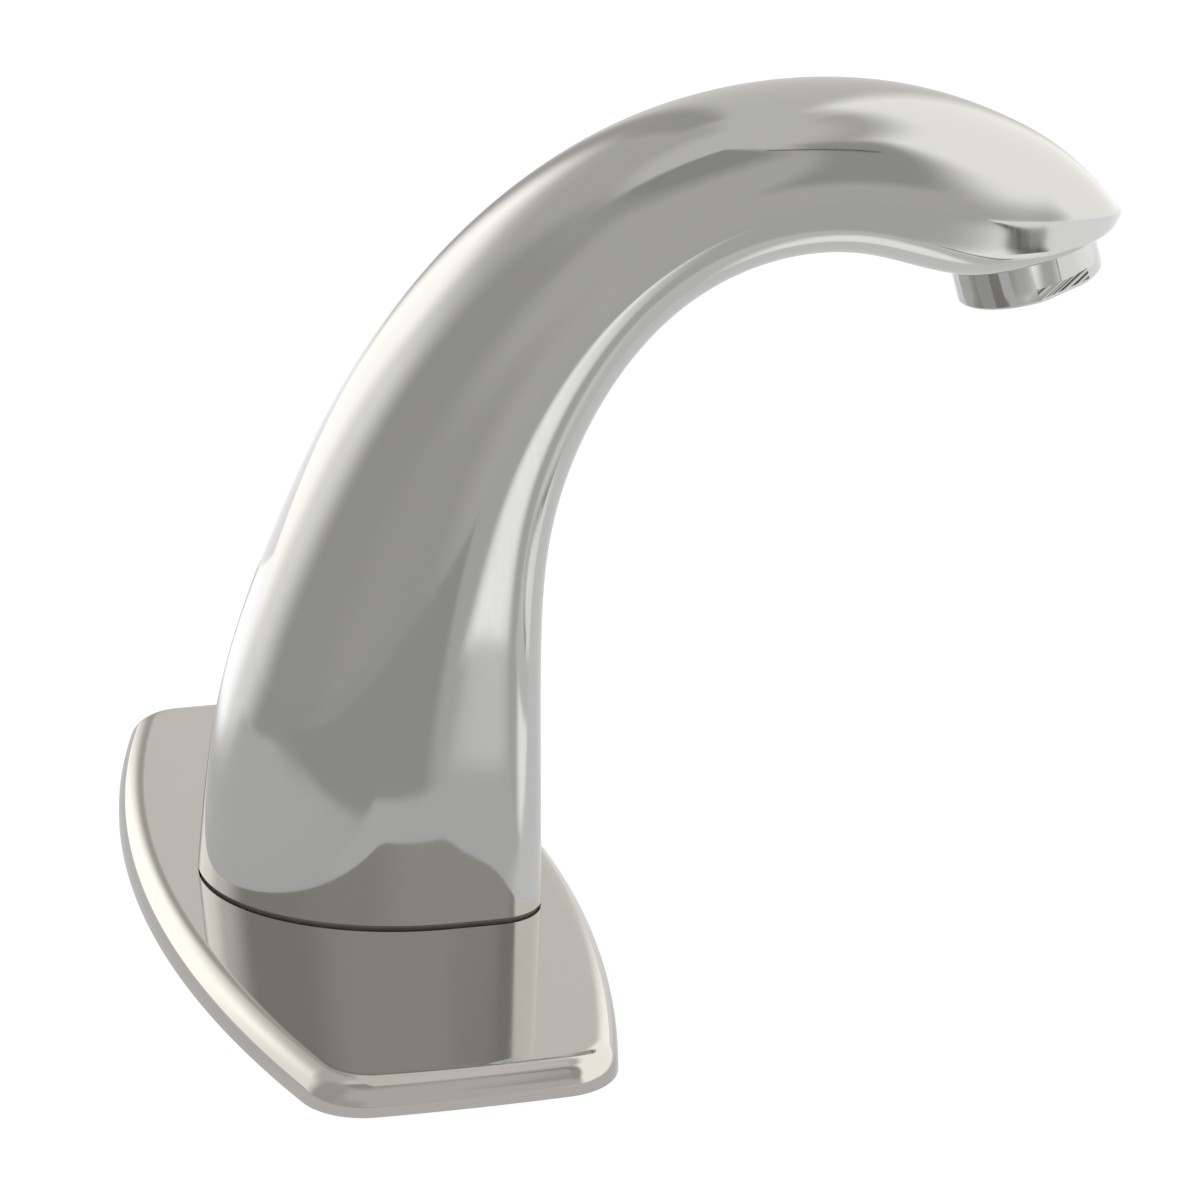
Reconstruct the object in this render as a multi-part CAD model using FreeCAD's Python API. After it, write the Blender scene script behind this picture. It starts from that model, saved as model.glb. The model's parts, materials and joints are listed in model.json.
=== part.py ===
import FreeCAD, Part
import math
import os

# A deck-mounted sensor tap: a cast spout on a cover plate, with the infrared sensor, the
# solenoid valve and the water tube inside it, and the fixing nut and inlet below the deck.
# Millimetres.  The origin is the centre of the cover plate on the deck, +Z up, and the
# spout reaches towards -Y.

Vector = FreeCAD.Vector

# Fits
thread_gap = 0.05       # round a thread or a pushed-in part
bond_gap = 0.03         # round a glued or soldered joint
screw_gap = 0.15        # round a screw that passes through a part
join = 0.1              # how far two shapes run into each other before they are fused
over = 1.0              # how far a cutting shape reaches past what it cuts

# Cover plate
plate_half_length = 80.0
plate_end_half_width = 21.3
plate_middle_half_width = 34.1
plate_end_bow = 0.7
plate_corner_radius = 10.0
plate_height = 5.0
plate_edge_radius = 4.4
plate_rim_width = 3.0
plate_skin = 2.0
plate_hole_radius = 13.6
gasket_gap = 0.2
gasket_hole_radius = 14.0

# Spout: one row for each station from the foot to the tip of the nose.
# outer Y, outer Z, inner Y, inner Z, half width, corner radius, bow of the inner face
seal_thickness = 0.5
seal_inset = 0.5
foot_z = plate_height + seal_thickness
stations = [
    (24.4, foot_z, -27.4, foot_z, 28.7, 8.0, 1.4),
    (20.8, 33.8, -27.2, 24.1, 27.6, 7.6, 1.4),
    (11.6, 61.3, -26.9, 45.4, 26.2, 7.2, 1.3),
    (-0.2, 84.9, -28.5, 65.5, 24.6, 6.8, 1.2),
    (-17.4, 106.4, -36.6, 85.0, 23.0, 6.4, 1.1),
    (-42.4, 123.3, -52.2, 100.2, 21.6, 6.0, 1.0),
    (-76.0, 130.1, -77.7, 104.7, 20.3, 5.0, 0.9),
    (-98.9, 126.3, -96.4, 100.7, 19.2, 4.6, 0.6),
    (-107.6, 122.8, -104.5, 101.8, 18.3, 3.4, 0.4),
    (-114.3, 119.1, -111.5, 103.9, 17.3, 1.8, 0.3),
    (-119.6, 114.8, -117.3, 105.7, 15.0, 1.2, 0.2),
    (-123.3, 111.1, -121.7, 106.9, 10.6, 0.8, 0.1),
    (-125.6, 108.9, -124.8, 107.7, 5.2, 0.4, 0.0),
    (-126.5, 108.1, -126.1, 107.7, 2.2, 0.15, 0.0),
]
cavity_last_station = 6
cavity_end = (-89.5, 128.6, -87.8, 102.6, 19.7, 5.3, 0.8)
wide_share = 0.35       # where a section is widest, as a share of its depth from the inner face
corner_share = 0.4      # the least share of a corner's radius that is left inside the wall
corner_room = 0.1
flat_steps = 3
corner_steps = 4
back_steps = 8
wall = 3.2

# Foot and its screws
insert_top = 13.5
insert_side_gap = 1.2
lug_places = ((-20.2, -18.2), (20.2, -18.2), (0.0, 16.35))
lug_radius = 4.8
lug_top = 18.0
lug_hole_top = 17.0
screw_radius = 1.5
screw_hole_gap = 0.2
screw_top = 16.5
screw_head_radius = 2.75
screw_head_low = foot_z + 0.4
screw_head_high = foot_z + 3.6
screw_drive_across = 3.0
screw_drive_depth = 1.8

# Shank and fixing
shank_radius = 13.0
shank_bore = 10.4
shank_end = -48.0
deck_thickness = 20.0
washer_gap = 0.3
rubber_washer_radius = 24.0
rubber_washer_thickness = 3.0
steel_washer_radius = 23.0
steel_washer_thickness = 2.0
nut_height = 8.0
nut_across_flats = 36.0
nut_corner_radius = 19.6

# Plug and socket in the shank's lower end
plug_length = 6.0
plug_flange_radius = 12.0
plug_flange_thickness = 1.5
socket_x = -5.8
socket_y = 2.4
socket_radius = 3.95
socket_drop = 9.0
socket_rise = 7.0
socket_wall = 0.8
socket_depth = 5.0
pin_circle = 1.5
pin_radius = 0.45
pin_sink = 1.0

# Inlet
inlet_x = 5.5
inlet_y = -1.5
inlet_tube_radius = 4.5
inlet_tube_bore = 3.5
inlet_tube_top = 19.5
inlet_tube_grip = 7.5
nipple_radius = 7.14
nipple_collar_radius = 8.0
nipple_top = -62.0
nipple_collar_height = 6.0
nipple_thread_length = 12.0
nipple_socket_depth = 8.0
nipple_bore = 3.2
nipple_bottom = nipple_top - nipple_collar_height - nipple_thread_length
strainer_seat_radius = 4.6
strainer_seat_depth = 3.0
strainer_radius = 4.5
strainer_low = nipple_bottom + 1.6
strainer_high = nipple_bottom + 2.8
strainer_hole_radius = 0.45
strainer_pitch = 1.4
strainer_rows = 2       # rows of holes on each side of the middle one
strainer_hole_reach = 3.3

# Valve: an upright solenoid valve standing on the inlet tube
valve_x = -0.2
valve_y = -1.5
valve_radius = 11.6
valve_neck_radius = 7.5
valve_bottom = 15.0
valve_neck_bottom = 17.0
valve_flange_bottom = 26.0
valve_face = 31.0
inlet_boss_wall = 1.0
inlet_passage_radius = 1.7
cross_bore_z = 21.5
cross_bore_radius = 2.4
cross_bore_wall = 1.6
outlet_port_x = -16.7
outlet_port_radius = 5.3
outlet_port_top = 31.0
outlet_port_drop = 4.0
outlet_sump = 2.0
chamber_radius = 6.9
chamber_depth = 4.5
seat_radius = 3.7
seat_bore = 2.4

# Diaphragm and its insert
diaphragm_thickness = 1.2
diaphragm_radius = 8.0
insert_neck_radius = 2.0
insert_neck_drop = 2.0
insert_head_radius = 4.5
insert_head_gap = 0.05
pilot_radius = 0.5
pilot_gap = 0.1

# Bonnet, its screws and the plunger's guide
bonnet_bottom = valve_face + diaphragm_thickness
bonnet_height = 6.0
bonnet_top = bonnet_bottom + bonnet_height
bonnet_room = 4.0
bonnet_screw_circle = 9.7
bonnet_screw_radius = 1.0
bonnet_screw_depth = 3.5
bonnet_hole_depth = 4.0
bonnet_head_radius = 1.8
bonnet_head_height = 1.0
guide_radius = 4.6
guide_bore = 3.6
guide_top = 53.5
guide_cap = 1.0
guide_root = 0.5

# Coil and plunger
coil_radius = 8.6
coil_bottom = bonnet_top + 0.1
coil_top = coil_bottom + 11.7
coil_plug_x = 4.0
coil_plug_y = -10.5
coil_plug_radius = 2.4
coil_plug_low = coil_top - 8.0
coil_plug_top = 49.0
coil_plug_socket = 1.0
lead_gap = 0.02
retainer_radius = 7.0
retainer_thickness = 1.2
plunger_radius = 3.5
plunger_tip_radius = 1.2
plunger_tip_height = 1.0
plunger_bottom = 33.6
plunger_top = 46.0
spring_wire = 0.5
spring_radius = 2.6
spring_turns = 5
spring_gap = 0.1

# Water tube
tube_radius = 4.0
tube_bore = 3.0
tube_z = 113.0
tube_end_y = -97.0
tube_route = [
    (outlet_port_x, valve_y, outlet_port_top - 5.0),
    (outlet_port_x, valve_y, 53.0),
    (0.0, -6.8, 72.0),
    (0.0, -9.0, 81.0),
    (0.0, -32.0, 101.0),
    (0.0, -58.0, tube_z),
    (0.0, tube_end_y, tube_z),
]
bend_share = 0.45       # how much of its shorter run a bend takes up
tube_socket_length = 11.0
water_way_length = 10.0
tube_seal_y = -93.0
tube_seal_wire = 0.88
seal_groove_depth = 1.9
seal_groove_width = 2.2

# Aerator: heights are along its own axis from the outlet rim
aerator_y = -112.1
aerator_z = 96.2
aerator_tilt = 17.65
aerator_radius = 12.0
aerator_rim_radius = 0.5
aerator_shell_top = 8.2
aerator_thread_radius = 10.95
aerator_thread_top = 13.5
aerator_mouth_radius = 8.6
aerator_bore = 9.6
aerator_lip = 1.2
wrench_flat_width = 22.0
wrench_flat_height = 2.4
wrench_flat_turn = 9.0
outlet_side_gap = 0.3
outlet_top_gap = 0.2
water_chamber_radius = 6.5
water_chamber_top = 19.6
washer_radius = 10.6
washer_bore = 6.2
washer_height = 1.5
washer_top_gap = 0.1
cartridge_side_gap = 0.08
cartridge_bottom = aerator_lip + 0.1
cartridge_floor = aerator_lip + 5.0
cartridge_top = 11.8
cartridge_wall = 1.6
straw_radius = 0.8
straw_pitch = 2.1
straw_rings = 3
screen_radius = 9.5
screen_bottom = 11.9
screen_top = 12.5
screen_hole_radius = 0.55
screen_pitch = 1.6
screen_rings = 4

# Sensor: depths are along its own axis, outwards from the face of the spout
sensor_y = -28.6
sensor_z = 66.0
sensor_tilt = 12.0
window_width = 13.0
window_height = 20.0
window_depth = 0.6
window_thickness = 2.8
window_gap = 0.2
window_frame = 3.0
gasket_inset = 0.4
pad_half_width = 11.0
pad_half_height = 15.0
pad_depth = 6.0
flange_half_width = 8.5
flange_half_height = 14.5
flange_thickness = 1.5
case_half_width = 7.5
case_half_height = 10.0
case_back = -16.0
case_wall = 1.2
sensor_screw_height = 12.6
sensor_screw_radius = 1.0
sensor_screw_length = 3.5
sensor_screw_hole_depth = 4.0
sensor_head_radius = 2.0
sensor_head_height = 1.4
sensor_flange_hole = 1.2
board_half_width = 6.0
board_half_height = 8.6
board_thickness = 1.2
board_face = -12.6
eye_radius = 2.5
eye_shoulder = -8.9
eye_height = 4.4
cable_hole_place = (4.0, -6.0)
lead_hole_place = (3.0, -11.0, -12.0)
lead_hole_gap = 0.1

# Leads inside the tap
sensor_cable_radius = 1.75
sensor_cable_route = [
    (4.0, -11.8, 63.5),
    (4.0, 0.5, 64.0),
    (-7.5, 8.0, 50.0),
    (-9.2, 9.8, 38.0),
    (-9.2, 9.8, 26.0),
    (socket_x, socket_y, 8.0),
    (socket_x, socket_y, shank_end + socket_rise),
]
valve_lead_radius = 1.5
valve_lead_route = [
    (coil_plug_x, coil_plug_y, coil_plug_top - coil_plug_socket),
    (coil_plug_x, coil_plug_y, 50.2),
    (3.0, -13.7, 54.0),
    (3.0, -14.95, 59.5),
]


def cylinder(radius, low, high, x=0.0, y=0.0):
    """An upright cylinder between two heights."""
    return Part.makeCylinder(radius, high - low, Vector(x, y, low))


def ring(outer, inner, low, high, x=0.0, y=0.0):
    """An upright ring between two heights."""
    return cylinder(outer, low, high, x, y).cut(cylinder(inner, low, high, x, y))


def inlet_cylinder(radius, low, high):
    """An upright cylinder on the inlet's axis."""
    return cylinder(radius, low, high, inlet_x, inlet_y)


def valve_cylinder(radius, low, high):
    """An upright cylinder on the valve's axis."""
    return cylinder(radius, low, high, valve_x, valve_y)


def valve_ring(outer, inner, low, high):
    """An upright ring on the valve's axis."""
    return ring(outer, inner, low, high, valve_x, valve_y)


def level_cylinder(radius, length, start, direction):
    """A cylinder that lies level, from a point on its axis."""
    return Part.makeCylinder(radius, length, Vector(*start), Vector(*direction))


def turned(shape, angle, place):
    """A shape turned about X and moved to its place."""
    copy = shape.copy()
    copy.rotate(Vector(0, 0, 0), Vector(1, 0, 0), angle)
    copy.translate(Vector(*place))
    return copy


def on_aerator_axis(shape):
    """Upright parts of the aerator are turned onto the outlet's axis."""
    return turned(shape, -aerator_tilt, (0, aerator_y, aerator_z))


def on_sensor_axis(shape):
    """Sensor parts are drawn facing +Z and turned to face out of the spout."""
    return turned(shape, 90.0 + sensor_tilt, (0, sensor_y, sensor_z))


def hexagon(across_flats, low, high):
    """An upright hexagonal prism."""
    corner = across_flats / math.sqrt(3.0)
    points = []
    for turn in range(7):
        angle = math.radians(60 * turn)
        points.append(Vector(corner * math.cos(angle), corner * math.sin(angle), low))
    return Part.Face(Part.makePolygon(points)).extrude(Vector(0, 0, high - low))


def stadium(width, height, low, high):
    """An upright prism with two straight sides and two round ends, long along Y."""
    radius = width / 2.0
    straight = height / 2.0 - radius
    tip = straight + radius
    upper_right = Vector(radius, straight, low)
    upper_left = Vector(-radius, straight, low)
    lower_right = Vector(radius, -straight, low)
    lower_left = Vector(-radius, -straight, low)
    outline = [
        Part.LineSegment(lower_right, upper_right),
        Part.Arc(upper_right, Vector(0, tip, low), upper_left),
        Part.LineSegment(upper_left, lower_left),
        Part.Arc(lower_left, Vector(0, -tip, low), lower_right),
    ]
    wire = Part.Wire([edge.toShape() for edge in outline])
    return Part.Face(wire).extrude(Vector(0, 0, high - low))


def box_between(low, high):
    """A box from its lowest corner to its highest."""
    size = [b - a for a, b in zip(low, high)]
    return Part.makeBox(size[0], size[1], size[2], Vector(*low))


def centred_box(half_width, half_height, low, high):
    """A box centred on the axis, between two depths."""
    return box_between((-half_width, -half_height, low), (half_width, half_height, high))


def four_round(x, y, radius):
    """Four places at the corners of a square."""
    places = []
    for turn in range(4):
        angle = math.radians(45 + 90 * turn)
        places.append((x + radius * math.cos(angle), y + radius * math.sin(angle)))
    return places


def rounded_route(points):
    """A wire of straight runs joined by tangent arcs."""
    points = [Vector(*p) for p in points]
    edges = []
    start = points[0]
    for before, corner, after in zip(points, points[1:], points[2:]):
        back = (before - corner).normalize()
        onward = (after - corner).normalize()
        half_turn = (math.pi - back.getAngle(onward)) / 2.0
        taken = bend_share * min((before - corner).Length, (after - corner).Length)
        radius = taken / math.tan(half_turn)
        first = corner + back * taken
        last = corner + onward * taken
        middle = corner + (back + onward).normalize() * (radius / math.cos(half_turn) - radius)
        edges.append(Part.LineSegment(start, first).toShape())
        edges.append(Part.Arc(first, middle, last).toShape())
        start = last
    edges.append(Part.LineSegment(start, points[-1]).toShape())
    return Part.Wire(edges)


def tube_along(points, radius):
    """A round bar along a rounded route."""
    route = rounded_route(points)
    direction = Vector(*points[1]) - Vector(*points[0])
    circle = Part.Wire(Part.makeCircle(radius, Vector(*points[0]), direction))
    bar = route.makePipeShell([circle], True, False)
    expected = math.pi * radius ** 2 * route.Length
    print("tube length", round(route.Length, 1), "volume ratio", round(bar.Volume / expected, 4))
    return bar


def plate_outline(inset, low, high):
    """The plate's plan: two long bowed sides and two short bowed ends."""
    end = plate_half_length - inset
    side = plate_end_half_width - inset
    middle = plate_middle_half_width - inset
    tip = end + plate_end_bow
    corners = [Vector(x, y, low) for x, y in ((-end, -side), (end, -side), (end, side), (-end, side))]
    bows = [Vector(x, y, low) for x, y in ((0, -middle), (tip, 0), (0, middle), (-tip, 0))]
    edges = [Part.Arc(corners[i], bows[i], corners[(i + 1) % 4]).toShape() for i in range(4)]
    blank = Part.Face(Part.Wire(edges)).extrude(Vector(0, 0, high - low))
    half_height = (high - low) / 2.0
    upright = [e for e in blank.Edges if abs(e.Vertexes[0].Z - e.Vertexes[-1].Z) > half_height]
    return blank.makeFillet(plate_corner_radius - inset, upright)


def make_deck_plate():
    plate = plate_outline(0.0, 0.0, plate_height)
    top = [e for e in plate.Edges if min(v.Z for v in e.Vertexes) > plate_height / 2.0]
    plate = plate.makeFillet(plate_edge_radius, top)
    plate = plate.cut(plate_outline(plate_rim_width, -over, plate_height - plate_skin))
    return plate.cut(cylinder(plate_hole_radius, -over, plate_height + over))


def make_deck_gasket():
    gasket = plate_outline(plate_rim_width + gasket_gap, 0.0, plate_height - plate_skin)
    return gasket.cut(cylinder(gasket_hole_radius, -over, plate_height))


def station_outline(row, inset=0.0):
    """The closed curve of one station: a bowed inner face, round corners, an oval back."""
    outer_y, outer_z, inner_y, inner_z, half_width, corner, bow = row
    outer = Vector(0, outer_y, outer_z)
    inner = Vector(0, inner_y, inner_z)
    across = (outer - inner).normalize()
    depth = (outer - inner).Length - 2 * inset
    base = inner + across * inset
    half = half_width - inset
    radius = max(corner - inset, corner_share * corner)
    flat = half - radius
    widest = max(wide_share * depth, bow + radius + corner_room)
    side = []
    for step in range(1, flat_steps + 1):
        share = step / flat_steps
        side.append((flat * share, bow * share ** 2))
    for step in range(1, corner_steps + 1):
        angle = math.radians(90.0 * step / corner_steps)
        side.append((flat + radius * math.sin(angle), bow + radius * (1 - math.cos(angle))))
    side.append((half, (bow + radius + widest) / 2.0))
    for step in range(back_steps):
        angle = math.radians(90.0 * step / back_steps)
        side.append((half * math.cos(angle), widest + (depth - widest) * math.sin(angle)))
    outline = [(0.0, 0.0)] + side + [(0.0, depth)] + [(-x, u) for x, u in reversed(side)]
    points = [base + Vector(x, 0, 0) + across * u for x, u in outline]
    curve = Part.BSplineCurve()
    curve.interpolate(Points=points, PeriodicFlag=True)
    return Part.Wire(curve.toShape())


def foot_prism(inset, low, high):
    """The foot's outline, made smaller by inset, as an upright prism."""
    outline = station_outline(stations[0], inset)
    outline.translate(Vector(0, 0, low - foot_z))
    return Part.Face(outline).extrude(Vector(0, 0, high - low))


def make_outlet_cut():
    """The room for the aerator ring, its thread, its washer and the water above it."""
    seat_top = aerator_thread_top + washer_height + washer_top_gap
    cut = cylinder(aerator_thread_radius + thread_gap, 0.0, seat_top)
    cut = cut.fuse(cylinder(water_chamber_radius, seat_top - over, water_chamber_top))
    ring_room = cylinder(aerator_radius + outlet_side_gap, 0.0, aerator_shell_top + outlet_top_gap)
    return on_aerator_axis(cut.fuse(ring_room))


def make_tube_cut():
    """The water tube's socket, the groove of its seal and the way on to the outlet."""
    back = (0, -1, 0)
    socket_start = (0, tube_end_y + tube_socket_length, tube_z)
    cut = level_cylinder(tube_radius + thread_gap, tube_socket_length + over, socket_start, back)
    cut = cut.fuse(level_cylinder(tube_bore, water_way_length, (0, tube_end_y, tube_z), back))
    groove_start = (0, tube_seal_y + seal_groove_width / 2.0, tube_z)
    groove = level_cylinder(tube_radius + seal_groove_depth, seal_groove_width, groove_start, back)
    return cut.fuse(groove)


def make_spout_body():
    outside = Part.makeLoft([station_outline(row) for row in stations], True, False)
    hollow_rows = stations[:cavity_last_station + 1] + [cavity_end]
    hollow = Part.makeLoft([station_outline(row, wall) for row in hollow_rows], True, False)
    for x, y in lug_places:
        hollow = hollow.cut(cylinder(lug_radius, insert_top, lug_top, x, y))
    pad = centred_box(pad_half_width, pad_half_height, -pad_depth, pad_depth)
    body = outside.cut(hollow.cut(on_sensor_axis(pad)))
    for x, y in lug_places:
        body = body.cut(cylinder(screw_radius + thread_gap, foot_z, lug_hole_top, x, y))
    window = stadium(window_width, window_height, -pad_depth - over, pad_depth)
    body = body.cut(on_sensor_axis(window))
    hole_radius = sensor_screw_radius + thread_gap
    hole_top = sensor_screw_hole_depth - pad_depth
    for side in (-1, 1):
        hole = cylinder(hole_radius, -pad_depth - over, hole_top, 0.0, side * sensor_screw_height)
        body = body.cut(on_sensor_axis(hole))
    return body.cut(make_outlet_cut()).cut(make_tube_cut())


def make_spout_seal():
    outside = foot_prism(seal_inset, plate_height, foot_z)
    return outside.cut(foot_prism(wall + seal_inset, plate_height, foot_z))


def make_base_insert():
    low = foot_z - over
    insert = foot_prism(wall + insert_side_gap, foot_z, insert_top)
    insert = insert.cut(cylinder(shank_radius + thread_gap, low, insert_top + over))
    for x, y in lug_places:
        insert = insert.cut(cylinder(screw_radius + screw_hole_gap, low, insert_top + over, x, y))
        insert = insert.cut(cylinder(screw_head_radius + screw_gap, low, screw_head_high, x, y))
    return insert


def make_base_screws():
    screws = []
    for x, y in lug_places:
        head = cylinder(screw_head_radius, screw_head_low, screw_head_high, x, y)
        drive = hexagon(screw_drive_across, foot_z, screw_head_low + screw_drive_depth)
        drive.translate(Vector(x, y, 0))
        shaft = cylinder(screw_radius, screw_head_high - join, screw_top, x, y)
        screws.append(head.cut(drive).fuse(shaft))
    return Part.makeCompound(screws)


def make_mounting_shank():
    return ring(shank_radius, shank_bore, shank_end, insert_top)


def make_rubber_washer():
    top = -deck_thickness
    return ring(rubber_washer_radius, shank_radius + washer_gap, top - rubber_washer_thickness, top)


def make_steel_washer():
    top = -deck_thickness - rubber_washer_thickness
    return ring(steel_washer_radius, shank_radius + washer_gap, top - steel_washer_thickness, top)


def make_mounting_nut():
    top = -deck_thickness - rubber_washer_thickness - steel_washer_thickness
    bottom = top - nut_height
    nut = hexagon(nut_across_flats, bottom, top)
    nut = nut.common(cylinder(nut_corner_radius, bottom, top))
    return nut.cut(cylinder(shank_radius + thread_gap, bottom - over, top + over))


def make_shank_plug():
    plug = cylinder(shank_bore - thread_gap, shank_end, shank_end + plug_length)
    plug = plug.fuse(cylinder(plug_flange_radius, shank_end - plug_flange_thickness, shank_end))
    low = shank_end - plug_flange_thickness - over
    high = shank_end + plug_length + over
    plug = plug.cut(inlet_cylinder(inlet_tube_radius + thread_gap, low, high))
    return plug.cut(cylinder(socket_radius + thread_gap, low, high, socket_x, socket_y))


def make_power_socket():
    low = shank_end - socket_drop
    floor = low + socket_depth
    socket = cylinder(socket_radius, low, shank_end + socket_rise, socket_x, socket_y)
    socket = socket.cut(cylinder(socket_radius - socket_wall, low - over, floor, socket_x, socket_y))
    for x, y in four_round(socket_x, socket_y, pin_circle):
        socket = socket.fuse(cylinder(pin_radius, low + pin_sink, floor + over, x, y))
    return socket


def make_inlet_tube():
    low = nipple_top - inlet_tube_grip
    return ring(inlet_tube_radius, inlet_tube_bore, low, inlet_tube_top, inlet_x, inlet_y)


def make_inlet_nipple():
    collar_bottom = nipple_top - nipple_collar_height
    nipple = inlet_cylinder(nipple_collar_radius, collar_bottom, nipple_top)
    nipple = nipple.fuse(inlet_cylinder(nipple_radius, nipple_bottom, collar_bottom))
    socket_bottom = nipple_top - nipple_socket_depth
    nipple = nipple.cut(inlet_cylinder(inlet_tube_radius + bond_gap, socket_bottom, nipple_top + over))
    nipple = nipple.cut(inlet_cylinder(nipple_bore, nipple_bottom - over, nipple_top))
    seat_top = nipple_bottom + strainer_seat_depth
    return nipple.cut(inlet_cylinder(strainer_seat_radius, nipple_bottom - over, seat_top))


def make_inlet_strainer():
    disc = inlet_cylinder(strainer_radius, strainer_low, strainer_high)
    low = strainer_low - over
    high = strainer_high + over
    places = [strainer_pitch * row for row in range(-strainer_rows, strainer_rows + 1)]
    for x in places:
        for y in places:
            if math.hypot(x, y) < strainer_hole_reach:
                disc = disc.cut(cylinder(strainer_hole_radius, low, high, inlet_x + x, inlet_y + y))
    return disc


def make_valve_body():
    body = valve_cylinder(valve_radius, valve_flange_bottom, valve_face)
    body = body.fuse(valve_cylinder(valve_neck_radius, valve_neck_bottom, valve_face - over))
    boss_radius = inlet_tube_radius + inlet_boss_wall
    body = body.fuse(inlet_cylinder(boss_radius, valve_bottom, valve_face - over))
    reach = valve_x - outlet_port_x
    left = (-1, 0, 0)
    centre = (valve_x, valve_y, cross_bore_z)
    body = body.fuse(level_cylinder(cross_bore_radius + cross_bore_wall, reach, centre, left))
    port_bottom = cross_bore_z - outlet_port_drop
    port = cylinder(outlet_port_radius, port_bottom, outlet_port_top, outlet_port_x, valve_y)
    body = body.fuse(port)
    chamber_floor = valve_face - chamber_depth
    body = body.cut(valve_ring(chamber_radius, seat_radius, chamber_floor, valve_face + over))
    body = body.cut(valve_cylinder(seat_bore, cross_bore_z, valve_face + over))
    body = body.cut(level_cylinder(cross_bore_radius, reach, centre, left))
    sump = cylinder(tube_bore, cross_bore_z - outlet_sump, outlet_port_top, outlet_port_x, valve_y)
    body = body.cut(sump)
    socket_bottom = tube_route[0][2]
    socket_top = outlet_port_top + over
    socket = cylinder(tube_radius + bond_gap, socket_bottom, socket_top, outlet_port_x, valve_y)
    body = body.cut(socket)
    body = body.cut(inlet_cylinder(inlet_passage_radius, valve_bottom, chamber_floor + over))
    body = body.cut(inlet_cylinder(inlet_tube_radius + bond_gap, valve_bottom - over, inlet_tube_top))
    hole_bottom = valve_face - bonnet_hole_depth
    for x, y in four_round(valve_x, valve_y, bonnet_screw_circle):
        hole = cylinder(bonnet_screw_radius + thread_gap, hole_bottom, valve_face + over, x, y)
        body = body.cut(hole)
    return body


def make_valve_diaphragm():
    return valve_ring(diaphragm_radius, insert_neck_radius + thread_gap, valve_face, bonnet_bottom)


def make_diaphragm_insert():
    head_bottom = bonnet_bottom + insert_head_gap
    head_top = plunger_bottom - pilot_gap
    neck_bottom = valve_face - insert_neck_drop
    insert = valve_cylinder(insert_neck_radius, neck_bottom, head_bottom + insert_head_gap)
    insert = insert.fuse(valve_cylinder(insert_head_radius, head_bottom, head_top))
    return insert.cut(valve_cylinder(pilot_radius, neck_bottom - over, plunger_bottom + over))


def make_valve_bonnet():
    room_top = bonnet_bottom + bonnet_room
    bonnet = valve_cylinder(valve_radius, bonnet_bottom, bonnet_top)
    bonnet = bonnet.cut(valve_cylinder(chamber_radius, bonnet_bottom - over, room_top))
    bonnet = bonnet.fuse(valve_cylinder(guide_radius, bonnet_top - guide_root, guide_top))
    bonnet = bonnet.cut(valve_cylinder(guide_bore, bonnet_bottom, guide_top - guide_cap))
    hole_radius = bonnet_screw_radius + screw_gap
    head_hole_radius = bonnet_head_radius + screw_gap
    head_bottom = bonnet_top - bonnet_head_height
    for x, y in four_round(valve_x, valve_y, bonnet_screw_circle):
        bonnet = bonnet.cut(cylinder(hole_radius, bonnet_bottom - over, bonnet_top + over, x, y))
        bonnet = bonnet.cut(cylinder(head_hole_radius, head_bottom, bonnet_top + over, x, y))
    return bonnet


def make_bonnet_screws():
    shaft_bottom = valve_face - bonnet_screw_depth
    head_bottom = bonnet_top - bonnet_head_height
    screws = []
    for x, y in four_round(valve_x, valve_y, bonnet_screw_circle):
        shaft = cylinder(bonnet_screw_radius, shaft_bottom, head_bottom + join, x, y)
        screws.append(shaft.fuse(cylinder(bonnet_head_radius, head_bottom, bonnet_top, x, y)))
    return Part.makeCompound(screws)


def make_valve_coil():
    bore = valve_cylinder(guide_radius + thread_gap, coil_bottom, coil_top)
    coil = valve_cylinder(coil_radius, coil_bottom, coil_top)
    plug = cylinder(coil_plug_radius, coil_plug_low, coil_plug_top, coil_plug_x, coil_plug_y)
    low = coil_plug_top - coil_plug_socket
    high = coil_plug_top + over
    socket = cylinder(valve_lead_radius + lead_gap, low, high, coil_plug_x, coil_plug_y)
    return coil.fuse(plug).cut(socket).cut(bore)


def make_coil_retainer():
    return valve_ring(retainer_radius, guide_radius + bond_gap, coil_top, coil_top + retainer_thickness)


def make_valve_plunger():
    shoulder = plunger_bottom + plunger_tip_height
    plunger = valve_cylinder(plunger_radius, shoulder, plunger_top)
    foot = Vector(valve_x, valve_y, plunger_bottom)
    tip = Part.makeCone(plunger_tip_radius, plunger_radius, plunger_tip_height + join, foot)
    return plunger.fuse(tip).removeSplitter()


def make_plunger_spring():
    length = guide_top - guide_cap - plunger_top - spring_wire - 2 * spring_gap
    helix = Part.makeHelix(length / spring_turns, length, spring_radius)
    circle = Part.makeCircle(spring_wire / 2.0, Vector(spring_radius, 0, 0), Vector(0, 1, 0))
    spring = Part.Wire(helix).makePipeShell([Part.Wire(circle)], True, True)
    print("spring gap", round(length / spring_turns - spring_wire, 2))
    spring.translate(Vector(valve_x, valve_y, plunger_top + spring_wire / 2.0 + spring_gap))
    return spring


def make_water_tube():
    return tube_along(tube_route, tube_radius).cut(tube_along(tube_route, tube_bore))


def make_tube_seal():
    centre = Vector(0, tube_seal_y, tube_z)
    radius = tube_radius + tube_seal_wire + thread_gap
    return Part.makeTorus(radius, tube_seal_wire, centre, Vector(0, 1, 0))


def honeycomb(pitch, rings):
    """Places in a honeycomb round the middle."""
    places = []
    for row in range(-rings, rings + 1):
        for column in range(-rings, rings + 1):
            if abs(row + column) <= rings:
                x = pitch * (column + row / 2.0)
                places.append((x, pitch * row * math.sqrt(3.0) / 2.0))
    return places


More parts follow.
